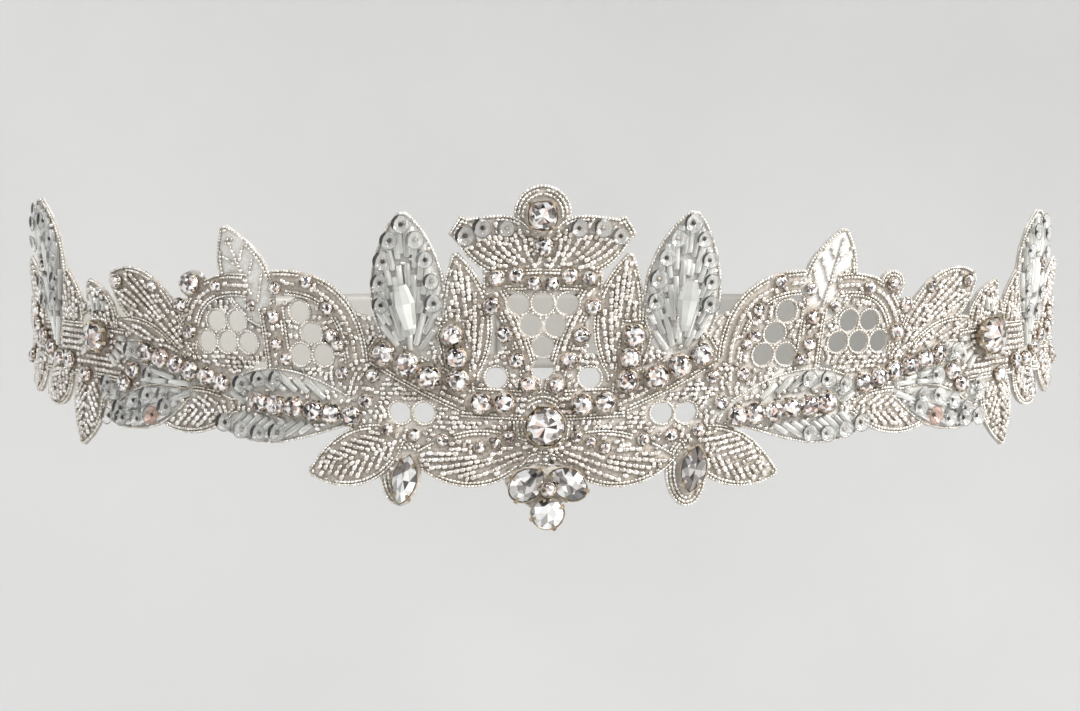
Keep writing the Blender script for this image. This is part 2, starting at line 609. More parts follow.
def vein_strands(motif, pitch):
    """The middle rib and pairs of far apart side veins."""
    rib, _, _ = middle_line(motif, np.linspace(0.02, 0.9, 30))
    return [rib] + chevron_strands(motif, pitch * VEIN_SPREAD, 0.0)


STRANDS = {"rows": rows_strands, "fan": fan_strands, "wing": wing_strands, "chevron": chevron_strands,
           "veins": vein_strands}


class Bed:
    """The flat lace of one half as it fills up: what is sewn on first keeps its room."""

    SQUARE = 2.0

    def __init__(self, side):
        self.side = side
        self.motifs = side_motifs(side)
        self.large = []
        self.small = {}
        self.sewn = {}

    def clear(self, points, reach):
        """Whether discs at the points lie on lace, off its net cells, the large stones and the sequins."""
        height, owner = ground(self.side, points)
        large = np.array(self.large)
        gaps = np.hypot(points[:, None, 0] - large[None, :, 0], points[:, None, 1] - large[None, :, 1])
        free = (gaps > large[:, 2] + reach).all(axis=1) & (height > 0.0) & (points[:, 0] > CENTRE_GAP)
        return free & ~in_cells(points, reach * CELL_OVERHANG), height, owner

    def has_room(self, along, up, reach):
        column, row = self.square(along, up)
        for near in product((column - 1, column, column + 1), (row - 1, row, row + 1)):
            for other_along, other_up, other_reach in self.small.get(near, ()):
                if (other_along - along) ** 2 + (other_up - up) ** 2 < (reach + other_reach) ** 2:
                    return False
        return True

    def square(self, along, up):
        return int(along // self.SQUARE), int(up // self.SQUARE)

    def keep(self, along, up, reach):
        self.small.setdefault(self.square(along, up), []).append((along, up, reach))

    def sew(self, kind, points, headings, size, height, lift):
        """Note what is sewn: where its middle is, the way it points, and its length, width and height."""
        count = len(points)
        places = np.column_stack([points, CLOTH_SHARE * height + lift])
        if headings.shape[1] == 2:
            headings = np.column_stack([headings, np.zeros(count)])
        self.sewn.setdefault(kind, []).append((places, headings, np.broadcast_to(size, (count, 3)).copy()))

    def sew_beads(self, kind, points, headings, bead, wanted=None):
        """Sew round beads wherever there is room; wanted is the motif that they have to lie on."""
        if not len(points):
            return
        free, height, owner = self.clear(points, bead * BEAD_REACH)
        if wanted is not None:
            free &= owner == wanted
        room = bead * BEAD_ROOM[kind]
        kept = []
        for index in np.flatnonzero(free):
            if self.has_room(*points[index], room):
                self.keep(*points[index], room)
                kept.append(index)
        if kept:
            size = np.array([bead * BEAD_LENGTHS[kind], bead, bead])
            self.sew(kind, points[kept], headings[kept], size, height[kept], bead * 0.5)

    def sew_bugle(self, start, end, diameter, wanted=None):
        """Sew one bugle from start to end, if the whole of it has room."""
        spots = start + (end - start) * np.linspace(0.0, 1.0, 7)[:, None]
        room = diameter * BUGLE_ROOM
        free, height, owner = self.clear(spots, room)
        if wanted is not None:
            free &= owner == wanted
        if not free.all() or not all(self.has_room(*spot, room) for spot in spots):
            return False
        for spot in spots:
            self.keep(*spot, room)
        run = np.append(end - start, CLOTH_SHARE * (height[-1] - height[0]))
        length = float(np.linalg.norm(run))
        middle_height = np.array([max(height.mean(), height[1:-1].max() - 0.3)])
        size = [length, diameter, diameter]
        self.sew("bugle", spots[3:4], (run / length)[None], size, middle_height, diameter * 0.5)
        return True


def stone_spots(stone, sign):
    """Discs that cover a stone's setting, on the half where sign is 1 on the right and -1 on the left."""
    length, width = stone.length, stone.width
    turn = math.radians(stone.turn)
    spots = []
    for share in np.linspace(-1.0, 1.0, 1 if stone.shape == "round" else 5):
        reach = width / 2.0 * (1.0 - 0.45 * abs(share)) + SETTING_WALL
        if stone.shape == "bead":
            reach *= BEAD_FOOT
        far = share * (length / 2.0 - width * 0.25)
        spots.append((sign * (stone.along - math.sin(turn) * far), stone.up + math.cos(turn) * far, reach))
    return spots


def chain_spots(chain):
    run = np.subtract(chain.end or chain.start, chain.start)
    return np.array(chain.start) + run * np.linspace(0.0, 1.0, chain.count)[:, None]


def sew_rhinestones(bed):
    """Small stones in their settings, turned every way; they and the large stones claim their room."""
    sign = 1.0 if bed.side == "right" else -1.0
    for stone in STONES:
        bed.large += stone_spots(stone, sign)
    for chain in CHAINS:
        if chain.side not in ("both", bed.side):
            continue
        for along, up in chain_spots(chain):
            if along > CENTRE_GAP or (bed.side == "right" and along > -0.01):
                size = chain.diameter * rng.uniform(0.98, 1.06)
                turn = rng.uniform(0.0, math.tau)
                spot = np.array([[along, up]]) + rng.uniform(-0.2, 0.2, (1, 2))
                height, _ = ground(bed.side, spot)
                heading = np.array([[math.cos(turn), math.sin(turn), rng.uniform(-0.12, 0.12)]])
                bed.sew("rhinestone", spot, heading, [size] * 3, height, CHATON_FOOT * size + chain.rise)
            bed.large.append((along, up, chain.diameter / 2.0 + SETTING_WALL))


def sew_sequins(bed, index, motif):
    """Cup sequins inside the edge of a leaf, over its bugles' outer ends, or along a wing's upper edge."""
    row = SEQUIN_ROWS[motif.look]
    outline = motif_outline(motif, row.inset, row.first)
    to_tip = distances(outline)[-1] / 2.0
    spots, headings = strand_places(outline, row.pitch, to_tip / row.pitch % 1.0)
    if motif.look == "wing":
        spots, headings = spots[:WING_SEQUINS], headings[:WING_SEQUINS]
    free, height, owner = bed.clear(spots, SEQUIN * 0.3)
    for number in np.flatnonzero(free & (owner == index)):
        size = SEQUIN * rng.uniform(0.84, 1.02)
        heading = np.array([[*headings[number], rng.uniform(-0.16, 0.16)]])
        bed.sew("sequin", spots[[number]], heading, [size] * 3, height[[number]], row.lift)
        bed.large.append((*spots[number], size * 0.42))


def sew_bugles(bed, index, motif):
    """Bugles end to end along the strands of a leaf, from its edge inwards."""
    if motif.look == "bugles":
        strands = fan_strands(motif, BUGLE * 1.12, BUGLE_EDGE)
    else:
        strands = [strand[::-1] for strand in chevron_strands(motif, BUGLE * 1.08, 1.2, BUGLE_EDGE)]
    for strand in strands:
        length = distances(strand)[-1]
        first = rng.uniform(0.0, 0.6)
        while first < length - BUGLE_SHORTEST:
            last = min(first + rng.uniform(0.9, 1.1) * BUGLE_LENGTH, length)
            while last - first >= BUGLE_SHORTEST:
                start, end = points_at(strand, [first, last])
                if bed.sew_bugle(start, end, BUGLE * rng.uniform(0.92, 1.06), index):
                    break
                last -= 1.6
            first = last + 0.35 if last - first >= BUGLE_SHORTEST else first + 1.2


def sew_rays(bed):
    """Bugles set like rays round the side stones, some shorter than others."""
    middle = np.array([RAYS.along, RAYS.up])
    for angle in np.radians(np.linspace(RAYS.first, RAYS.last, RAYS.count)):
        ray = np.array([math.cos(angle), math.sin(angle)])
        outer = RAYS.outer * rng.uniform(0.88, 1.04)
        while outer - RAYS.inner > BUGLE_SHORTEST:
            if bed.sew_bugle(middle + ray * RAYS.inner, middle + ray * outer, BUGLE * 0.95):
                break
            outer -= 0.8


def sew_rows(bed, index, motif):
    """Rows of beads inside one motif."""
    bead = VEIN_SEED if motif.look == "veins" else SEED
    for strand in STRANDS[motif.look](motif, bead * ROW_SPREAD):
        spots, headings = strand_places(strand, bead * BEAD_LENGTHS["seed"] * ROW_STEP, rng.uniform(0.3, 0.7))
        spots = spots + rng.normal(0.0, ROW_JITTER, spots.shape)
        bed.sew_beads("seed", spots, headings, bead, index)


def sew_edges(bed, index, motif):
    """Two ropes of small beads round a motif."""
    ropes = EDGE_ROPES[:1] if motif.look in BUGLE_LOOKS else EDGE_ROPES
    for inset, bead in ropes:
        spots, headings = strand_places(motif_outline(motif, inset), bead * BEAD_LENGTHS["edge"] * ROPE_STEP)
        bed.sew_beads("edge", spots, headings, bead, index)


def sew_rims(bed):
    """Ropes of small beads round the thick pads that carry large stones."""
    for pad, (inset, bead) in product(PADS, RIM_ROPES):
        if pad.out >= RIM_PAD_OUT:
            ring = oval_line(pad.along, pad.up, pad.length / 2.0 - inset, pad.height / 2.0 - inset,
                             math.radians(pad.tilt), 61)
            spots, headings = strand_places(ring, bead * BEAD_LENGTHS["edge"] * ROPE_STEP)
            bed.sew_beads("edge", spots, headings, bead, -1)


def sew_net(bed):
    """A string of tiny beads round every net cell."""
    for along, up, half_length, half_height, tilt in CELL_OVALS:
        ring = oval_line(along, up, half_length + NET_STRING, half_height + NET_STRING, tilt, 41)
        spots, headings = strand_places(ring, PICOT * NET_STEP)
        bed.sew_beads("picot", spots, headings, PICOT)


def sew_filling(bed):
    """Short stitched rows over whatever lace is still bare, except on the sheer leaves."""
    sheer = [index for index, motif in enumerate(bed.motifs) if motif.look == "veins"]
    for row, up in enumerate(np.arange(FILLING_BOTTOM, FILLING_TOP, FILLING_SEED)):
        along = np.arange(0.5 + 0.35 * (row % 2), LACE_END, FILLING_PITCH)
        spots = np.column_stack([along, np.full(len(along), up)])
        spots += rng.normal(0.0, FILLING_JITTER, spots.shape)
        height, owner = ground(bed.side, spots)
        spots = spots[(height > 0.0) & ~np.isin(owner, sheer)]
        turn = 0.9 * np.sin(spots[:, 0] * 0.21) + 1.1 * np.cos(spots[:, 1] * 0.27 + spots[:, 0] * 0.05)
        headings = np.column_stack([np.cos(turn), np.sin(turn)])
        bed.sew_beads("seed", spots, headings, FILLING_SEED)


def sew_half(side):
    bed = Bed(side)
    sew_rhinestones(bed)
    for index, motif in enumerate(bed.motifs):
        sew_edges(bed, index, motif)
    sew_rays(bed)
    for index, motif in enumerate(bed.motifs):
        if motif.look in BUGLE_LOOKS:
            sew_bugles(bed, index, motif)
            sew_sequins(bed, index, motif)
        if motif.look == "wing":
            sew_sequins(bed, index, motif)
    sew_rims(bed)
    for index, motif in enumerate(bed.motifs):
        if motif.look not in BUGLE_LOOKS:
            sew_rows(bed, index, motif)
    sew_net(bed)
    sew_filling(bed)
    return bed.sewn


# Shapes of beads and stones, in their own sizes: x runs through the bead, z faces out

def bands(rings, sides, closed=False):
    """Faces between rings of points that follow one another; closed joins the last ring to the first."""
    faces = []
    for ring in range(rings if closed else rings - 1):
        low = ring * sides
        high = (ring + 1) % rings * sides
        for side in range(sides):
            after = (side + 1) % sides
            faces.append((low + side, low + after, high + after, high + side))
    return faces


def lathe(profile, sides):
    """Turned about x: a ring of points for each (x, radius) pair, with flat ends."""
    verts = [(x, y, z) for x, radius in profile for y, z, _ in ring_points(sides, radius, 0.0)]
    faces = [tuple(reversed(face)) for face in bands(len(profile), sides)]
    last = (len(profile) - 1) * sides
    return np.array(verts), faces + [tuple(range(sides)), tuple(reversed(range(last, last + sides)))]


def closed_lathe_z(profile, sides):
    """A ring turned about z from a closed profile of (radius, z) pairs."""
    verts = [point for radius, z in profile for point in ring_points(sides, radius, z)]
    return np.array(verts), bands(len(profile), sides, closed=True)


def hull(points):
    """Facets of the convex hull of some points, with flat neighbours joined."""
    bm = bmesh.new()
    for point in points:
        bm.verts.new(point)
    bmesh.ops.convex_hull(bm, input=bm.verts[:])
    bmesh.ops.dissolve_limit(bm, angle_limit=math.radians(1.0), verts=bm.verts[:], edges=bm.edges[:])
    bm.verts.index_update()
    verts = np.array([vert.co[:] for vert in bm.verts])
    faces = [tuple(vert.index for vert in face.verts) for face in bm.faces]
    bm.free()
    return verts, faces


def ring_points(sides, radius, z, turn=0.0):
    angles = math.tau * (np.arange(sides) + turn) / sides
    return [(radius * math.cos(a), radius * math.sin(a), z) for a in angles]


def joined(*shapes):
    verts = []
    faces = []
    for more_verts, more_faces in shapes:
        first = sum(len(group) for group in verts)
        verts.append(more_verts)
        faces += [tuple(first + index for index in face) for face in more_faces]
    return np.concatenate(verts), faces


def prong(angle, foot, top, thickness):
    """A small claw that leans in over a stone, from its foot (radius, z) to its top (radius, z)."""
    points = []
    for (radius, z), size in ((foot, thickness), (top, thickness * 0.7)):
        for across, deep in ((-1, -1), (1, -1), (1, 1), (-1, 1)):
            reach = radius + deep * size / 2.0
            x = reach * math.cos(angle) - across * size / 2.0 * math.sin(angle)
            y = reach * math.sin(angle) + across * size / 2.0 * math.cos(angle)
            points.append((x, y, z))
    return hull(points)


SMALL_BEAD_SHAPE = lathe([(-0.5, 0.28), (0.0, 0.5), (0.5, 0.28)], 6)
SEQUIN_SHAPE = closed_lathe_z([(0.09, 0.0), (0.24, 0.02), (0.40, 0.10), (0.5, 0.20),
                               (0.48, 0.215), (0.38, 0.13), (0.24, 0.05), (0.09, 0.03)], 14)
SEQUIN_PIN_SHAPE = hull(ring_points(6, 0.085, 0.0) + ring_points(6, 0.12, 0.05) + ring_points(6, 0.06, 0.12))
RHINESTONE_SHAPE = hull([(0.0, 0.0, 0.385)] + ring_points(8, 0.29, 0.355) + ring_points(8, 0.40, 0.27, 0.5)
                        + ring_points(16, 0.485, 0.12, 0.5) + ring_points(16, 0.485, 0.08, 0.5)
                        + ring_points(8, 0.20, -0.20))
SETTING_SHAPE = joined(
    closed_lathe_z([(0.30, -0.22), (0.46, -0.04), (0.515, 0.12),
                    (0.475, 0.12), (0.42, -0.02), (0.26, -0.18)], 12),
    *[prong(math.tau * (k + 0.5) / 4.0, (0.50, 0.02), (0.40, 0.27), 0.10) for k in range(4)])
SHAPES = {
    "seed": lathe([(-0.5, 0.30), (-0.28, 0.5), (0.28, 0.5), (0.5, 0.30)], 7),
    "edge": SMALL_BEAD_SHAPE,
    "picot": SMALL_BEAD_SHAPE,
    "bugle": lathe([(-0.5, 0.40), (-0.47, 0.5), (0.47, 0.5), (0.5, 0.40)], 8),
    "sequin": SEQUIN_SHAPE,
    "sequin_pin": SEQUIN_PIN_SHAPE,
    "rhinestone": RHINESTONE_SHAPE,
    "setting": SETTING_SHAPE,
}

# What each kind of sewn thing is called, and its look, slot and shading
BEADWORK = {
    "seed": ("seed_beads", "seed", "beaded_lace", False),
    "edge": ("edge_beads", "edge", "beaded_lace", False),
    "picot": ("net_beads", "edge", "beaded_lace", False),
    "bugle": ("bugle_beads", "bugle", "beaded_lace", False),
    "sequin": ("sequins", "sequin", "crystal", False),
    "sequin_pin": ("sequin_pins", "pin", "beaded_lace", False),
    "rhinestone": ("rhinestones", "rhinestone", "crystal", True),
    "setting": ("rhinestone_settings", "setting", "crystal", True),
}


# Pieces

def new_mesh(name, verts, faces):
    mesh = bpy.data.meshes.new(name)
    mesh.from_pydata([tuple(point) for point in verts], [], faces)
    return mesh


def new_object(mesh, material):
    mesh.materials.clear()
    mesh.materials.append(material)
    made = bpy.data.objects.new(mesh.name, mesh)
    bpy.context.scene.collection.objects.link(made)
    return made


def new_piece(mesh, material, flat_shaded=False, sharp_over=None):
    mesh.update()
    if not flat_shaded:
        mesh.shade_smooth()
        if sharp_over is not None:
            mesh.set_sharp_from_angle(angle=math.radians(sharp_over))
    piece = new_object(mesh, material)
    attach(piece, "root")
    return piece


def waist_axes(places):
    """Unit directions along, up and out of the belt at flat places, as rows of vectors."""
    here = on_waist(places)
    axes = []
    for step in np.eye(3) * 0.05:
        ahead = on_waist(places + step) - here
        axes.append(ahead / np.linalg.norm(ahead, axis=1)[:, None])
    return here, axes


def scatter(name, kind, places, headings, sizes, material, flat_shaded=False):
    """One joined mesh of a bead shape at flat places: x of the shape follows the heading, z faces out."""
    verts, faces = SHAPES[kind]
    count = len(places)
    here, (along_axis, up_axis, out_axis) = waist_axes(places)
    x_axis = headings[:, :1] * along_axis + headings[:, 1:2] * up_axis + headings[:, 2:3] * out_axis
    x_axis /= np.linalg.norm(x_axis, axis=1)[:, None]
    y_axis = np.cross(out_axis, x_axis)
    y_axis /= np.linalg.norm(y_axis, axis=1)[:, None]
    z_axis = np.cross(x_axis, y_axis)
    scaled = verts[None] * sizes[:, None, :] * MM
    offsets = [scaled[..., k:k + 1] * axis[:, None] for k, axis in enumerate((x_axis, y_axis, z_axis))]
    points = here[:, None] + (offsets[0] + offsets[1] + offsets[2])
    corner_counts = np.array([len(face) for face in faces])
    corners = np.concatenate([np.array(face) for face in faces])
    all_corners = (corners[None] + len(verts) * np.arange(count)[:, None]).ravel()
    starts = np.concatenate([[0], np.cumsum(np.tile(corner_counts, count))[:-1]])
    mesh = bpy.data.meshes.new(name)
    mesh.vertices.add(count * len(verts))
    mesh.vertices.foreach_set("co", points.ravel())
    mesh.loops.add(len(all_corners))
    mesh.loops.foreach_set("vertex_index", all_corners)
    mesh.polygons.add(len(starts))
    mesh.polygons.foreach_set("loop_start", starts)
    if kind == "sequin":
        set_values(mesh, "shade", sequin_shade(verts, headings).ravel())
    return new_piece(mesh, material, flat_shaded)


def set_values(mesh, name, values):
    """A value for each corner point of a mesh, for its material to read."""
    mesh.attributes.new(name, "FLOAT", "POINT").data.foreach_set("value", values)


def sequin_shade(verts, headings):
    """How deep each point of each sequin lies in shade: most at the rim on the side away from the window."""
    along = verts[None, :, 0] * headings[:, :1] - verts[None, :, 1] * headings[:, 1:2]
    up = verts[None, :, 0] * headings[:, 1:2] + verts[None, :, 1] * headings[:, :1]
    rim = np.hypot(verts[:, 0], verts[:, 1]) > SEQUIN_RIM
    return np.where(rim, (up * SHADE_SIDE[1] + along * SHADE_SIDE[0]) / 0.5, 0.0)


def both_halves():
    """Everything sewn on, from both halves, as arrays of places, headings and sizes for each kind."""
    gathered = {}
    for side, sign in (("right", 1.0), ("left", -1.0)):
        mirror = np.array([sign, 1.0, 1.0])
        for kind, groups in sew_half(side).items():
            for places, headings, sizes in groups:
                gathered.setdefault(kind, []).append((places * mirror, headings * mirror, sizes))
    return {kind: [np.concatenate(part) for part in zip(*groups)] for kind, groups in gathered.items()}


def stretch_of(along):
    """Which piece of lace lies at each along: 0 on the left, 1 at the centre, 2 on the right."""
    return np.where(along < -SEAM_ALONG, 0, np.where(along > SEAM_ALONG, 2, 1))


def make_beadwork(materials):
    sewn = both_halves()
    sewn["setting"] = sewn["rhinestone"]
    sewn["sequin_pin"] = sewn["sequin"]
    made = {}
    for kind, (places, headings, sizes) in sewn.items():
        title, material, slot_name, flat_shaded = BEADWORK[kind]
        where = stretch_of(places[:, 0])
        if kind in ("seed", "edge", "picot"):
            sizes = sizes * rng.uniform(0.93, 1.05, (len(sizes), 1))
        for number, stretch in enumerate(("left", "centre", "right")):
            chosen = where == number
            if chosen.any():
                made.setdefault(stretch, []).append(
                    scatter(f"{title}_{stretch}", kind, places[chosen], headings[chosen], sizes[chosen],
                            materials[material], flat_shaded))
    return made


def make_lace(stretch, material):
    """The stiffened lace itself: a thin cloth on its node's outline, raised along the ribs of its leaves."""
    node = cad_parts[f"applique_{stretch}"]
    bm = bmesh.new()
    bm.from_mesh(node.data)
    bmesh.ops.remove_doubles(bm, verts=bm.verts[:], dist=WELD)
    for _ in range(2):
        long_edges = [edge for edge in bm.edges if edge.calc_length() > CLOTH_EDGE * MM]
        bmesh.ops.subdivide_edges(bm, edges=long_edges, cuts=1)
        bmesh.ops.triangulate(bm, faces=[face for face in bm.faces if len(face.verts) > 3])
    flat = from_waist(np.array([vert.co[:] for vert in bm.verts]))
    points = np.column_stack([np.abs(flat[:, 0]), flat[:, 1]])
    height = np.zeros(len(flat))
    sheer = np.zeros(len(flat))
    for side, chosen in (("left", flat[:, 0] < 0.0), ("right", flat[:, 0] >= 0.0)):
        if chosen.any():
            height[chosen], owner = ground(side, points[chosen])
            looks = [motif.look for motif in side_motifs(side)] + ["net"]
            sheer[chosen] = [SHEER_LOOKS.get(looks[index], 0.0) for index in owner]
    if stretch == "centre":
        at_seam = np.abs(flat[:, 0]) > SEAM_ALONG - SEAM_GAP
        flat[at_seam, 0] += np.copysign(SEAM_GAP * 0.9, flat[at_seam, 0])
    top = flat[:, 2] > WALL_SHARE * NET_WALL
    flat[:, 2] = CLOTH_SHARE * np.where(top, np.maximum(height, NET_WALL), np.maximum(flat[:, 2], 0.0))
    for vert, place in zip(bm.verts, on_waist(flat)):
        vert.co = place
    bm.verts.index_update()
    mesh = bpy.data.meshes.new(f"lace_{stretch}")
    bm.to_mesh(mesh)
    bm.free()
    set_values(mesh, "sheer", sheer)
    piece = new_piece(mesh, material, sharp_over=48.0)
    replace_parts(piece, node.name)


def make_ribbon(name, side, rides_over, material):
    """Satin ribbon from under one spray to past the centre back, slack by a hair between its stitches."""
    along_steps = np.linspace(RIBBON_START, CENTRE_BACK_ALONG + RIBBON_LAP - 0.2, RIBBON_COLUMNS)
    share = np.tile(np.linspace(-0.5, 0.5, RIBBON_ROWS), RIBBON_COLUMNS)
    along = np.repeat(along_steps, RIBBON_ROWS)
    to_lap = np.clip((along - CENTRE_BACK_ALONG + RIBBON_LAP + LAP_RISE) / LAP_RISE, 0.0, 1.0)
    lift = to_lap * LAP_LIFT if rides_over else 0.0
    curl = RIBBON_CURL * (2.0 * np.abs(share)) ** 6
    ripple = RIBBON_RIPPLE * np.sin(along * 0.16 + share * 2.2) * np.sin(along * 0.047 + 1.0)
    out = -SEAM_GAP - RIBBON_WALL * 0.62 + lift + curl + ripple
    flat = np.column_stack([side * along, RIBBON_MIDDLE_UP + (RIBBON_WIDTH - 0.2) * share, out])
    faces = []
    for column, row in product(range(RIBBON_COLUMNS - 1), range(RIBBON_ROWS - 1)):
        first = column * RIBBON_ROWS + row
        face = (first, first + 1, first + RIBBON_ROWS + 1, first + RIBBON_ROWS)
        faces.append(face if side < 0 else tuple(reversed(face)))
    piece = new_piece(new_mesh(f"satin_{name}", on_waist(flat), faces), material)
    layer = piece.data.uv_layers.new(name="cloth")
    corners = np.empty(len(piece.data.loops), np.int32)
    piece.data.loops.foreach_get("vertex_index", corners)
    layer.data.foreach_set("uv", (flat[corners, :2] * MM * CLOTH_UV_SCALE).ravel())
    wall = piece.modifiers.new("wall", "SOLIDIFY")
    wall.thickness = RIBBON_CLOTH * MM
    wall.offset = 0.0
    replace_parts(piece, name)


# Large stones

def stone_outline(stone, sides, grow=0.0, turn=0.0):
    """Outline of a stone: round, a rounded square, pointed at both ends, or pointed at its top."""
    points = []
    for angle in math.tau * (np.arange(sides) + turn) / sides:
        across = math.cos(angle)
        upright = math.sin(angle)
        if stone.shape == "cushion":
            across = math.copysign(abs(across) ** CUSHION, across)
            upright = math.copysign(abs(upright) ** CUSHION, upright)
        if stone.shape == "navette" or (stone.shape == "drop" and upright > 0.0):
            across = math.copysign(abs(across) ** POINTED, across)
        points.append(((stone.width / 2.0 + grow) * across, (stone.length / 2.0 + grow) * upright))
    return points


def stone_levels(stone):
    """Corners of a stone's facets, in rings of its outline from its foot to its top."""
    return [(x * share, y * share, height * stone.height)
            for share, height, turn, every in LEVELS.get(stone.shape, LEVELS["round"])
            for x, y in stone_outline(stone, STONE_SIDES, -SETTING_WALL * 1.6, turn)[::every]]


def place_on_belt(stone, verts):
    """Points in a stone's own frame, laid where the stone is sewn on, in metres."""
    here, (along_axis, up_axis, out_axis) = waist_axes(np.array([[stone.along, stone.up, stone.out]]))
    up_axis = up_axis[0]
    across = along_axis[0]
    out = np.cross(across, up_axis)
    turn = math.radians(stone.turn)
    x_axis = across * math.cos(turn) + up_axis * math.sin(turn)
    y_axis = up_axis * math.cos(turn) - across * math.sin(turn)
    verts = np.asarray(verts) * MM
    return here[0] + verts[:, :1] * x_axis + verts[:, 1:2] * y_axis + verts[:, 2:3] * out


def bead_glass(stone):
    """A long bead of flat facets that lies along its leaf."""
    points = []
    for share, reach in [(-0.5, 0.34), (-0.38, 0.62), (0.12, 1.0), (0.40, 0.74), (0.5, 0.58)]:
        for x, z, _ in ring_points(BEAD_FACETS, reach, 0.0):
            points.append((x * stone.width / 2.0, share * stone.length, stone.height / 2.0 * (1.0 + z)))
    return hull(points)


def make_large_stone(stone, materials):
    """A foiled glass stone with the metal cup and claws that hold it, or a long bead alone."""
    look = STONE_LOOKS.get(stone.shape, "clear_stone")
    verts, faces = bead_glass(stone) if stone.shape == "bead" else hull(stone_levels(stone))
    mesh = new_mesh(stone.node + "_glass", place_on_belt(stone, verts), faces)
    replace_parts(new_piece(mesh, materials[look], flat_shaded=True), stone.node)
    if stone.shape != "bead":
        make_cup(stone, materials["setting"])


def make_cup(stone, material):
    """A cup that follows the stone's outline from its foot to its girdle, with claws bent over the edge."""
    profile = [(-0.9, 0.0), (-0.10, 0.30), (0.0, 0.56), (-0.22, 0.57), (-0.34, 0.34), (-1.1, 0.06)]
    verts = [(x, y, height * stone.height) for grow, height in profile
             for x, y in stone_outline(stone, CUP_SIDES, grow)]
    shapes = [(np.array(verts), bands(len(profile), CUP_SIDES, closed=True))]
    claws = 8 if stone.shape == "round" else 4
    for x, y in stone_outline(stone, claws, 0.0, 0.25 if stone.shape == "drop" else 0.5):
        reach = math.hypot(x, y)
        foot = (reach - 0.05, 0.42 * stone.height)
        shapes.append(prong(math.atan2(y, x), foot, (reach - 0.85, 0.74 * stone.height), CLAW))
    verts, faces = joined(*shapes)
    mesh = new_mesh(stone.node + "_setting", place_on_belt(stone, verts), faces)
    new_piece(mesh, material, sharp_over=35.0)


# Materials

class Look:
    """A material with one Principled shader, and short ways to feed it from nodes."""

    def __init__(self, name, roughness, metallic=0.0, **sockets):
        self.material = bpy.data.materials.new(name)
        self.material.use_nodes = True
        self.tree = self.material.node_tree
        self.shader = self.tree.nodes["Principled BSDF"]
        for socket, value in {"Roughness": roughness, "Metallic": metallic, **sockets}.items():
            self.shader.inputs[socket.replace("_", " ")].default_value = value

    def node(self, kind, inputs=None, **settings):
        """A new node with its settings, its inputs set to a value or linked to another node's output."""
        made = self.tree.nodes.new(kind)
        for name, value in settings.items():
            setattr(made, name, value)
        for socket, value in (inputs or {}).items():
            if isinstance(value, bpy.types.NodeSocket):
                self.tree.links.new(value, made.inputs[socket])
            else:
                made.inputs[socket].default_value = value
        return made.outputs

    def feed(self, socket, source):
        self.tree.links.new(source, self.shader.inputs[socket])

    def geometry(self, output):
        return self.node("ShaderNodeNewGeometry")[output]

    def place(self):
        return self.node("ShaderNodeTexCoord")["Object"]

    def attribute(self, name):
        return self.node("ShaderNodeAttribute", attribute_name=name)["Fac"]

    def per_island(self):
        return self.geometry("Random Per Island")

    def per_facet(self):
        """A random value for each flat facet of each stone."""
        inputs = {0: self.geometry("True Normal"), 1: self.per_island()}
        offset = self.node("ShaderNodeVectorMath", inputs, operation="ADD")["Vector"]
        inputs = {0: offset, 1: (0.02, 0.02, 0.02)}
        snapped = self.node("ShaderNodeVectorMath", inputs, operation="SNAP")["Vector"]
        return self.node("ShaderNodeTexWhiteNoise", {"Vector": snapped})["Value"]

    def reverse(self):
        """1 where cloth faces the waist, 0 where it faces out."""
        inputs = {0: self.geometry("True Normal"), 1: self.place()}
        outwards = self.node("ShaderNodeVectorMath", inputs, operation="DOT_PRODUCT")["Value"]
        return self.node("ShaderNodeMath", {0: outwards, 1: 0.0}, operation="LESS_THAN")["Value"]

    def noise(self, scale, detail=3.0, roughness=0.5):
        inputs = {"Vector": self.place(), "Scale": scale, "Detail": detail, "Roughness": roughness}
        return self.node("ShaderNodeTexNoise", inputs)["Fac"]

    def ramp(self, source, tones, interpolation="LINEAR"):
        outputs = self.node("ShaderNodeValToRGB", {"Fac": source})
        ramp = outputs[0].node.color_ramp
        ramp.interpolation = interpolation
        while len(ramp.elements) < len(TONES[tones]):
            ramp.elements.new(0.5)
        for element, (position, *colour) in zip(ramp.elements, TONES[tones]):
            element.position = position
            element.color = (*colour, 1.0)
        return outputs["Color"]

    def mixed(self, share, first, second, blend="MIX"):
        inputs = {0: share, 6: first, 7: second}
        return self.node("ShaderNodeMix", inputs, data_type="RGBA", blend_type=blend)[2]

    def colour(self, source):
        self.feed("Base Color", source)
        return self.material

    def roughness(self, source, low, high):
        inputs = {"Value": source, "To Min": low, "To Max": high}
        self.feed("Roughness", self.node("ShaderNodeMapRange", inputs)["Result"])

    def bump(self, source, strength, distance):
        inputs = {"Height": source, "Strength": strength, "Distance": distance}
        self.feed("Normal", self.node("ShaderNodeBump", inputs)["Normal"])


def bead_look(name, kind, metallic, coat, drift_scale):
    """Silver-lined glass: each bead differs a little from the next, with slow drifts along the belt."""
    look = Look(name, 0.13, metallic, Coat_Weight=coat, Coat_Roughness=0.05)
    tone = look.ramp(look.per_island(), kind)
    drift = look.ramp(look.noise(drift_scale), kind + "_drift")
    return look.colour(look.mixed(1.0, tone, drift, "MULTIPLY"))


def bugle_look():
    """Clear glass tubes over pale cloth, each with its own tone."""
    look = Look("clear_bugle_glass", 0.10, IOR=1.45, Coat_Weight=1.0, Coat_Roughness=0.04,
                Transmission_Weight=0.52)
    look.roughness(look.noise(900.0), 0.05, 0.22)
    return look.colour(look.ramp(look.per_island(), "bugle"))


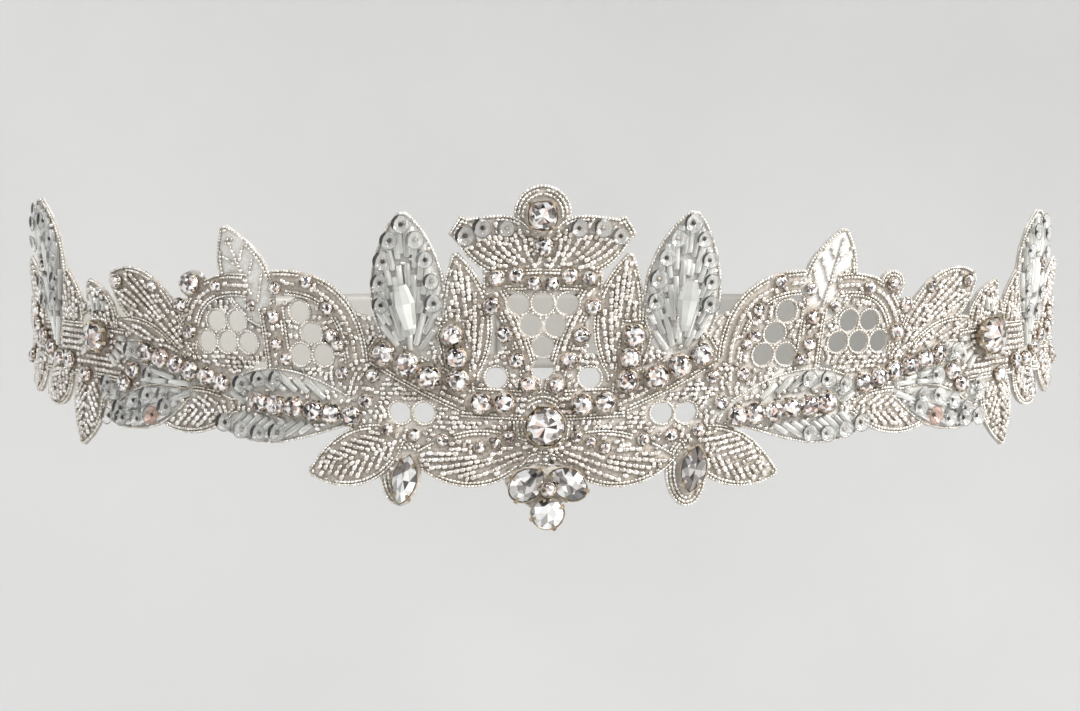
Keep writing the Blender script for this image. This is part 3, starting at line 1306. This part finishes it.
def sequin_look():
    """Clear cup sequins; the far slope of most cups is in shade, and a few are peach."""
    look = Look("clear_sequin", 0.06, IOR=1.3, Coat_Weight=1.0, Coat_Roughness=0.03, Transmission_Weight=0.8)
    tone = look.ramp(look.per_island(), "sequin")
    shade = look.ramp(look.per_island(), "sequin_shade")
    return look.colour(look.mixed(look.ramp(look.attribute("shade"), "sequin_depth"), tone, shade))


def pin_look():
    """The dark eye of a sequin, where its hole and stitch are in shade."""
    look = Look("sequin_eye", 0.25, 0.3)
    return look.colour(look.ramp(look.per_island(), "pin"))


def crystal_look(name, size, tones):
    """Foiled glass: each facet has its own tone, split into bright and black parts by the facets under it."""
    look = Look(name, 0.035, 0.7, Coat_Weight=1.0, Coat_Roughness=0.02)
    facets = look.ramp(look.per_facet(), tones, "CONSTANT")
    splinters = look.node("ShaderNodeTexVoronoi", {"Vector": look.place(), "Scale": 1.0 / size})["Color"]
    return look.colour(look.mixed(0.85, facets, look.ramp(splinters, "splinters", "CONSTANT"), "MULTIPLY"))


def setting_look():
    """Silvered brass cups, darker and warmer in their creases."""
    look = Look("silvered_setting", 0.28, 0.95)
    wear = look.noise(700.0)
    look.roughness(wear, 0.18, 0.42)
    return look.colour(look.ramp(wear, "setting"))


def lace_look():
    """Stiffened lace: beige threads between the beads, paler and open-woven where the cloth is sheer."""
    look = Look("stitched_lace", 0.72, Sheen_Weight=0.35, Sheen_Roughness=0.4)
    thread = look.noise(1500.0, 4.0, 0.7)
    look.bump(thread, 0.7, 0.0003)
    face = look.mixed(look.attribute("sheer"), look.ramp(thread, "cloth"), look.ramp(thread, "tulle"))
    return look.colour(look.mixed(look.reverse(), face, look.ramp(thread, "backing")))


def satin_look():
    """Ivory satin: fine warp lines and a soft sheen, duller on its reverse."""
    look = Look("ivory_satin", 0.34, Sheen_Weight=0.5, Sheen_Roughness=0.25, Coat_Weight=0.15,
                Coat_Roughness=0.3, Anisotropic=0.5)
    cloth = look.node("ShaderNodeUVMap", uv_map="cloth")["UV"]
    inputs = {"Vector": cloth, "Scale": 260.0, "Distortion": 0.8}
    look.bump(look.node("ShaderNodeTexWave", inputs, bands_direction="Y")["Fac"], 0.12, 0.0002)
    tone = look.ramp(look.noise(22.0), "satin")
    return look.colour(look.mixed(look.reverse(), tone, (0.36, 0.35, 0.325, 1.0)))


def drop_bead_look():
    """Pale clear glass whose long facets differ a little."""
    look = Look("drop_bead_glass", 0.07, IOR=1.52, Coat_Weight=1.0, Coat_Roughness=0.02,
                Transmission_Weight=0.3)
    facets = look.ramp(look.per_facet(), "drop_facets", "CONSTANT")
    return look.colour(look.mixed(1.0, facets, look.ramp(look.noise(260.0), "drop_cloud"), "MULTIPLY"))


def stage_look():
    look = Look("plaster", 0.85)
    return look.colour(look.ramp(look.noise(2.2), "plaster"))


# Room, light and camera

def make_stage(material):
    """A pale floor well below the belt that rounds up into a wall on every side."""
    profile = [(STAGE_RADIUS - STAGE_ROUND + STAGE_ROUND * math.sin(turn),
                STAGE_FLOOR + STAGE_ROUND * (1.0 - math.cos(turn)))
               for turn in np.linspace(0.0, math.pi / 2.0, 12)] + [(STAGE_RADIUS, STAGE_TOP)]
    verts = [point for radius, z in profile for point in ring_points(STAGE_SIDES, radius, z)]
    faces = [tuple(reversed(face)) for face in bands(len(profile), STAGE_SIDES)]
    middle = len(verts)
    faces += [(middle, side, (side + 1) % STAGE_SIDES) for side in range(STAGE_SIDES)]
    mesh = new_mesh("floor", verts + [(0.0, 0.0, STAGE_FLOOR)], faces)
    mesh.shade_smooth()
    new_object(mesh, material)


def aimed(item, place, target):
    item.location = place
    item.rotation_euler = (Vector(target) - Vector(place)).to_track_quat("-Z", "Y").to_euler()
    bpy.context.scene.collection.objects.link(item)


def make_camera():
    rise = math.radians(CAMERA_RISE_DEGREES)
    front = -(WAIST_HALF_DEPTH + FACE_OUT) * MM
    place = (AIM_SIDE, front - CAMERA_DISTANCE * math.cos(rise), AIM_UP + CAMERA_DISTANCE * math.sin(rise))
    data = bpy.data.cameras.new("camera")
    data.sensor_width = SENSOR_WIDTH
    data.lens = SENSOR_WIDTH * PIXELS_PER_MM * CAMERA_DISTANCE / MM / IMAGE_WIDTH
    data.clip_start = 0.01
    camera = bpy.data.objects.new("camera", data)
    aimed(camera, place, (AIM_SIDE, front, AIM_UP))
    bpy.context.scene.camera = camera


def make_lights():
    for name, place, size, watts, colour in LIGHTS:
        data = bpy.data.lights.new(name, "AREA")
        data.shape = "RECTANGLE"
        data.size, data.size_y = size
        data.energy = watts
        data.color = colour
        aimed(bpy.data.objects.new(name, data), place, LIGHT_TARGET)
    world = bpy.data.worlds.new("room")
    world.use_nodes = True
    background = world.node_tree.nodes["Background"]
    background.inputs["Color"].default_value = (0.96, 0.97, 1.0, 1.0)
    background.inputs["Strength"].default_value = ROOM_LIGHT
    bpy.context.scene.world = world
    bpy.context.scene.view_settings.view_transform = "Standard"


def build():
    make_camera()
    looks = {
        "seed": bead_look("silver_lined_glass", "seed", 0.78, 1.0, 60.0),
        "edge": bead_look("fine_cut_glass", "edge", 0.62, 0.9, 45.0),
        "bugle": bugle_look(),
        "sequin": sequin_look(),
        "pin": pin_look(),
        "rhinestone": crystal_look("rhinestone_glass", 0.0008, "blush_facets"),
        "blush_stone": crystal_look("blush_stone_glass", 0.0014, "blush_facets"),
        "clear_stone": crystal_look("clear_stone_glass", 0.0030, "clear_facets"),
        "setting": setting_look(),
        "drop_bead": drop_bead_look(),
    }
    lace = lace_look()
    beadwork = make_beadwork(looks)
    for stretch in ("left", "centre", "right"):
        make_lace(stretch, lace)
    satin = satin_look()
    make_ribbon("ribbon_right", 1.0, False, satin)
    make_ribbon("ribbon_left", -1.0, True, satin)
    for stone in STONES:
        make_large_stone(stone, looks)
    make_stage(stage_look())
    make_lights()


build()
